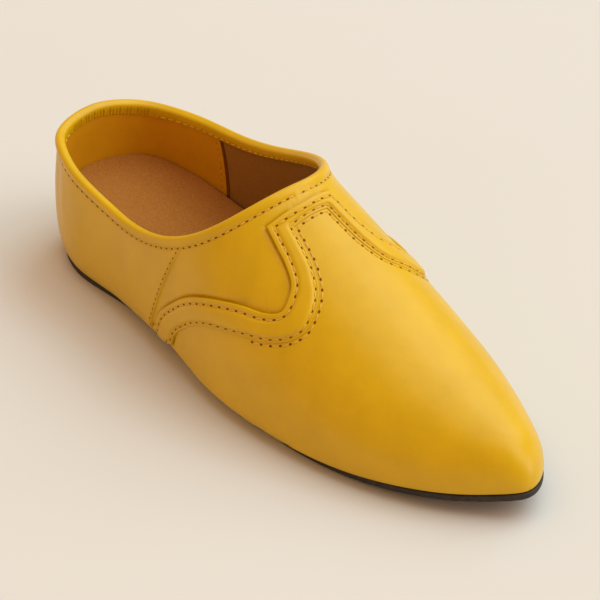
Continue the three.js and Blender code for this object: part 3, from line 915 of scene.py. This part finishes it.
def make_stitches(band, thread, hole_shade):
    stitching = Stitching()

    def sew_leather(place, across, pitch, scale=1):
        height = leather_height(place, across)
        stitching.sew(offset_point(place, across, height), last_normal(place, across), pitch, scale)

    def sew_band(place, across, pitch):
        height = band.height(place, across)
        stitching.sew(offset_point(place, across, height), last_normal(place, across), pitch)

    outer, inner = (collar_contour(side, COLLAR_STITCH_INSET) for side in (-1, 1))
    sew_leather(np.concatenate([outer[0][::-1], inner[0][1:]]),
                np.concatenate([outer[1][::-1], inner[1][1:]]), COLLAR_PITCH)

    clear = slice(ROW_END_STATIONS, band.count - ROW_END_STATIONS)
    for tree, inset in ((band.rear_tree, REAR_ROW_INSET), (band.front_tree, FRONT_ROW_INSET)):
        place, across = band.row(tree, inset, np.linspace(0, 1, ROW_SAMPLES + 1))
        sew_band(place[clear], across[clear], BAND_PITCH)
    past_front = np.linspace(1, VAMP_ROW_REACH, SIDE_ROW_SAMPLES + 1)
    place, across = band.row(band.front_tree, VAMP_ROW_INSET, past_front)
    ahead = np.flatnonzero(place > VAMP_ROW_FROM)
    ahead = slice(ahead[0], ahead[-1] + 1)
    sew_leather(place[ahead], across[ahead], BAND_PITCH)

    for side in (-1, 1):
        top_climb = collar_climb(1 - (1 - SEAM_STEP) ** COLLAR_SPACING, side)
        across = side * np.linspace(1 - top_climb + SEAM_ROW_FROM, SEAM_ROW_TO, SIDE_ROW_SAMPLES)
        sew_leather(seam_place(across) - SEAM_STITCH_INSET / SEAM_STRETCH, across, SEAM_PITCH,
                    SEAM_STITCH_SCALE)

    def sew_inside(place, across, depth, pitch):
        depths = np.full(len(place), -depth)
        stitching.sew(offset_point(place, across, depths), -last_normal(place, across), pitch,
                      INSIDE_STITCH_SCALE, INSIDE_HOLE_SCALE)

    for side in (-1, 1):
        top_climb = collar_climb(LINING_SEAM / THROAT, side)
        climb = np.linspace(0, top_climb - LINING_ROW_END, SIDE_ROW_SAMPLES // 2)
        sew_inside(lining_seam(climb) - LINING_STITCH_INSET / LENGTH, side * (1 - climb),
                   WALL + QUARTER_LINING, SEAM_PITCH)

    for side in (-1, 1):
        columns = facing_columns(side)
        place, across = columns.at(columns.shares_below(np.array([FACING_STITCH_INSET])))
        arc = collar.nearest(last_point(place, across))[1][:, 0]
        plain = (arc < PLEAT_ARC[0]) | (arc > PLEAT_ARC[1])
        sew_inside(place[plain, 0], across[plain, 0], WALL + QUARTER_LINING + FACING_THICKNESS,
                   COLLAR_PITCH)

    # The dark hole discs are painted shade
    for name, sheets, material in (("stitch_threads", stitching.threads, thread),
                                   ("painted_hole_shades", stitching.holes, hole_shade)):
        sheets.make(name, [material], "upper_leather", closed=False)


def footbed_height(place):
    slope = smooth(place / FOOTBED_SLOPE_END)
    return lift(place) + SOLE_THICKNESS + lerp(FOOTBED_HEEL, FOOTBED_FOREPART, slope)


def across_at_height(place, side, offset, height):
    """The across at which a wall offset from the last reaches a height."""
    low = np.full_like(place, -1.0)
    high = np.full_like(place, 1.0)
    for _ in range(HALVINGS):
        middle = (low + high) / 2
        below = offset_point(place, side * (1 - middle), np.full_like(place, offset))[:, 2] < height
        low = np.where(below, middle, low)
        high = np.where(below, high, middle)
    return side * (1 - (low + high) / 2)


def make_footbed(cover):
    place = np.linspace(0, FOOTBED_END, FOOTBED_STATIONS)
    inset = -WALL - FOOTBED_CLEARANCE
    edges = {}
    for side in (-1, 1):
        top_across = across_at_height(place, side, inset, footbed_height(place))
        top = offset_point(place, top_across, np.full_like(place, inset))
        edges[side] = margin_point(place, side, LASTING_MARGIN + FOOTBED_CLEARANCE), top
    (outer_low, outer), (inner_low, inner) = edges[-1], edges[1]
    width = np.maximum(np.linalg.norm(outer - inner, axis=1), 1e-6)
    dish = FOOTBED_DISH * np.clip(np.arange(len(place)) / FOOTBED_DISH_STATIONS, 0, 1)
    cover_rows = []
    for share in (1 - np.cos(np.linspace(0, math.pi, FOOTBED_ROWS))) / 2:
        from_edge = np.minimum(share, 1 - share) * width
        to_flat = 1 - np.clip(from_edge / FOOTBED_ROUND, 0, 1)
        rounded = FOOTBED_ROUND * (1 - np.sqrt(1 - to_flat ** 2))
        row = lerp(inner, outer, share)
        row[:, 2] -= dish * 4 * share * (1 - share) + rounded * np.clip(width / FOOTBED_NARROW, 0, 1)
        cover_rows.append(row)
    rings = np.stack([inner_low, *cover_rows, outer_low], axis=1)
    sheets = Sheets()
    sheets.add(rings, wrap=True)
    count = rings.shape[1]
    sheets.add_faces([list(range((len(place) - 1) * count, len(place) * count))])
    piece = sheets.make("footbed", [cover], "insole_cover", "insole")


def make_sole(rubber):
    place = np.linspace(0, 1, SOLE_STATIONS)
    widened = smooth((place - SOLE_WIDENS_FROM) / (SOLE_WIDE_FROM - SOLE_WIDENS_FROM))
    narrowed = smooth((place - SOLE_NARROWS_FROM) / (SOLE_WIDENS_FROM - SOLE_NARROWS_FROM))
    behind = lerp(SOLE_INSET_HEEL, SOLE_INSET_WAIST, narrowed)
    outline = lerp(behind, SOLE_INSET_TOE, widened)[:, None]
    edges = {}
    for side in (-1, 1):
        rows = []
        for share, inset in SOLE_SIDE:
            row = margin_point(place, side, outline + inset)
            row[:, 2] = lift(place) + SOLE_THICKNESS * share
            rows.append(row)
        edges[side] = rows
    over = [lerp(edges[1][-1], edges[-1][-1], share) for share in SOLE_SPREAD]
    under = [lerp(edges[-1][0], edges[1][0], share) for share in SOLE_SPREAD]
    rings = np.stack([*edges[1], *over, *edges[-1][::-1], *under], axis=1)
    sheets = Sheets()
    sheets.add(rings, wrap=True)
    sheets.make("sole", [rubber], "sole_rubber", "outsole")


class Shader:
    """A material with one Principled shader, whose textures lie in the slipper's own space."""

    def __init__(self, name, **constants):
        self.material = bpy.data.materials.new(name)
        self.material.use_nodes = True
        self.tree = self.material.node_tree
        self.surface = self.tree.nodes["Principled BSDF"]
        for socket, value in constants.items():
            self.surface.inputs[socket.replace("_", " ")].default_value = value
        self.space = self.tree.nodes.new("ShaderNodeTexCoord").outputs["Object"]

    def node(self, kind, links=(), **sockets):
        node = self.tree.nodes.new(kind)
        for socket, value in sockets.items():
            node.inputs[socket.replace("_", " ")].default_value = value
        for socket, output in links:
            self.tree.links.new(output, node.inputs[socket])
        return node

    def noise(self, scale, detail=2, roughness=0.5):
        node = self.node("ShaderNodeTexNoise", [("Vector", self.space)], Scale=scale, Detail=detail,
                         Roughness=roughness)
        return node.outputs["Fac"]

    def cells(self, scale, feature="F1"):
        node = self.node("ShaderNodeTexVoronoi", [("Vector", self.space)], Scale=scale)
        node.feature = feature
        return node.outputs["Distance"]

    def between(self, factor, low, high, to_low, to_high):
        node = self.node("ShaderNodeMapRange", [("Value", factor)], From_Min=low, From_Max=high,
                         To_Min=to_low, To_Max=to_high)
        return node.outputs["Result"]

    def ramp(self, factor, stops):
        node = self.node("ShaderNodeValToRGB", [("Fac", factor)])
        elements = node.color_ramp.elements
        while len(elements) < len(stops):
            elements.new(0.5)
        for element, (position, colour) in zip(elements, stops):
            element.position = position
            element.color = (*colour, 1)
        return node.outputs["Color"]

    def bumps(self, *layers):
        """Each layer is a height, its depth in metres and its strength."""
        normal = None
        for height, depth, strength in layers:
            links = [("Height", height)] + ([("Normal", normal)] if normal else [])
            bump = self.node("ShaderNodeBump", links, Strength=strength, Distance=depth)
            normal = bump.outputs["Normal"]
        self.set("Normal", normal)

    def set(self, socket, output):
        self.tree.links.new(output, self.surface.inputs[socket])


def leather_material(name, dark, middle, light, rough_low=0.28, rough_high=0.38):
    shader = Shader(name, Specular_IOR_Level=0.32)
    mottle = shader.noise(scale=60, detail=4, roughness=0.6)
    shader.set("Base Color", shader.ramp(mottle, [(0.32, dark), (0.5, middle), (0.68, light)]))
    wear = shader.noise(scale=900, detail=3)
    shader.set("Roughness", shader.between(wear, 0.3, 0.7, rough_low, rough_high))
    creases = shader.noise(scale=190, detail=3)
    grain = shader.between(shader.cells(1250, "DISTANCE_TO_EDGE"), 0, 0.16, 0, 1)
    pores = shader.noise(scale=3200, detail=2)
    shader.bumps((creases, 0.0002, 0.25), (grain, 0.00004, 0.35), (pores, 0.00003, 0.3))
    return shader.material


def suede_material(name, dark, middle, light):
    shader = Shader(name, Roughness=0.95, Specular_IOR_Level=0.15, Sheen_Weight=0.15, Sheen_Roughness=0.5)
    speckle = shader.noise(scale=1900, detail=4, roughness=0.75)
    shader.set("Base Color", shader.ramp(speckle, [(0.34, dark), (0.5, middle), (0.68, light)]))
    nap = shader.noise(scale=2400, detail=4, roughness=0.7)
    shader.bumps((nap, 0.00012, 0.6))
    return shader.material


def rubber_material(name, dark, light):
    shader = Shader(name, Roughness=0.7, Specular_IOR_Level=0.35)
    mottle = shader.noise(scale=500, detail=4, roughness=0.6)
    shader.set("Base Color", shader.ramp(mottle, [(0.35, dark), (0.65, light)]))
    rough = shader.noise(scale=1500, detail=3, roughness=0.6)
    shader.bumps((rough, 0.00008, 0.5))
    return shader.material


def plain_material(name, dark, light, scale, roughness, specular):
    shader = Shader(name, Roughness=roughness, Specular_IOR_Level=specular)
    shader.set("Base Color", shader.ramp(shader.noise(scale), [(0.35, dark), (0.65, light)]))
    return shader.material


def thread_material(name, dark, light):
    return plain_material(name, dark, light, scale=1500, roughness=0.62, specular=0.3)


# Dark brown painted shade, for the stitch holes and the shadow line in front of the quarter lining
def hole_shade_material(name, dark, light):
    return plain_material(name, dark, light, scale=900, roughness=0.9, specular=0.1)


def make_camera():
    sine, cosine = math.sin(CAMERA_AZIMUTH), math.cos(CAMERA_AZIMUTH)
    level, rise = math.cos(CAMERA_ELEVATION), math.sin(CAMERA_ELEVATION)
    back = np.array([sine * level, -cosine * level, rise])
    right = np.array([cosine, sine, 0])
    up = np.cross(back, right)
    eye = CAMERA_AIM + back * CAMERA_DISTANCE
    middle = PICTURE_SIZE / 2
    ray = right * (SHOE_CENTRE[0] - middle) + up * (middle - SHOE_CENTRE[1]) - back * CAMERA_FOCAL
    data = bpy.data.cameras.new("camera")
    data.sensor_width = SENSOR
    data.lens = CAMERA_FOCAL * ENLARGED * SENSOR / PICTURE_SIZE
    camera = bpy.data.objects.new("camera", data)
    camera.location = to_world(eye)[0]
    backward = -unit(ray)
    sideways = unit(right - backward * right.dot(backward))
    axes = Matrix(np.stack([sideways, np.cross(backward, sideways), backward], axis=1).tolist())
    camera.rotation_euler = axes.to_euler()
    bpy.context.scene.collection.objects.link(camera)
    bpy.context.scene.camera = camera


def make_floor():
    corners = [(x * FLOOR_HALF, y * FLOOR_HALF, 0) for x, y in ((-1, -1), (1, -1), (1, 1), (-1, 1))]
    mesh = bpy.data.meshes.new("floor")
    mesh.from_pydata(corners, [], [(0, 1, 2, 3)])
    shader = Shader("paper", Roughness=0.85, Specular_IOR_Level=0.2)
    tones = [(0.3, (0.62, 0.66, 0.735)), (0.7, (0.635, 0.675, 0.75))]
    shader.set("Base Color", shader.ramp(shader.noise(scale=3), tones))
    mesh.materials.append(shader.material)
    floor = bpy.data.objects.new("floor", mesh)
    bpy.context.scene.collection.objects.link(floor)


def make_lamp(name, place, width, power, colour):
    """A round lamp, out of the camera's sight, that is aimed at the slipper."""
    data = bpy.data.lights.new(name, "AREA")
    data.shape = "DISK"
    data.size = width
    data.energy = power
    data.color = colour
    light = bpy.data.objects.new(name, data)
    light.location = place
    light.rotation_euler = (-Vector(place)).to_track_quat("-Z", "Y").to_euler()
    light.visible_camera = False
    bpy.context.scene.collection.objects.link(light)


def make_light():
    for lamp in LAMPS:
        make_lamp(*lamp)
    world = bpy.data.worlds.new("soft_room")
    world.use_nodes = True
    background = world.node_tree.nodes["Background"]
    background.inputs["Color"].default_value = (*ROOM_COLOUR, 1)
    background.inputs["Strength"].default_value = ROOM_STRENGTH
    bpy.context.scene.world = world
    bpy.context.scene.view_settings.view_transform = "Standard"


leather = leather_material(
    "mustard_leather", (0.565, 0.368, 0.002), (0.595, 0.389, 0.003), (0.625, 0.41, 0.004))
lining = leather_material(
    "lining_leather", (0.58, 0.29, 0.002), (0.62, 0.315, 0.003), (0.66, 0.34, 0.004), 0.5, 0.6)
vamp_lining = suede_material(
    "brown_lining", (0.23, 0.11, 0.013), (0.3, 0.147, 0.019), (0.37, 0.185, 0.027))
cover = suede_material(
    "tan_suede", (0.28, 0.109, 0.019), (0.37, 0.153, 0.029), (0.46, 0.2, 0.043))
rubber = rubber_material("charcoal_rubber", (0.02, 0.018, 0.017), (0.035, 0.031, 0.028))
thread = thread_material("yellow_thread", (0.62, 0.38, 0.05), (0.75, 0.5, 0.1))
# The stitch hole colour is painted shade
hole_shade = hole_shade_material("painted_hole_shade", (0.13, 0.045, 0.003), (0.2, 0.075, 0.006))

make_camera()
make_floor()
make_light()
band = Band()
make_upper(band, leather, vamp_lining)
make_facing(leather)
make_quarter_lining(lining)
make_lining_shadows(hole_shade)
make_band(band, leather)
make_stitches(band, thread, hole_shade)
make_footbed(cover)
make_sole(rubber)
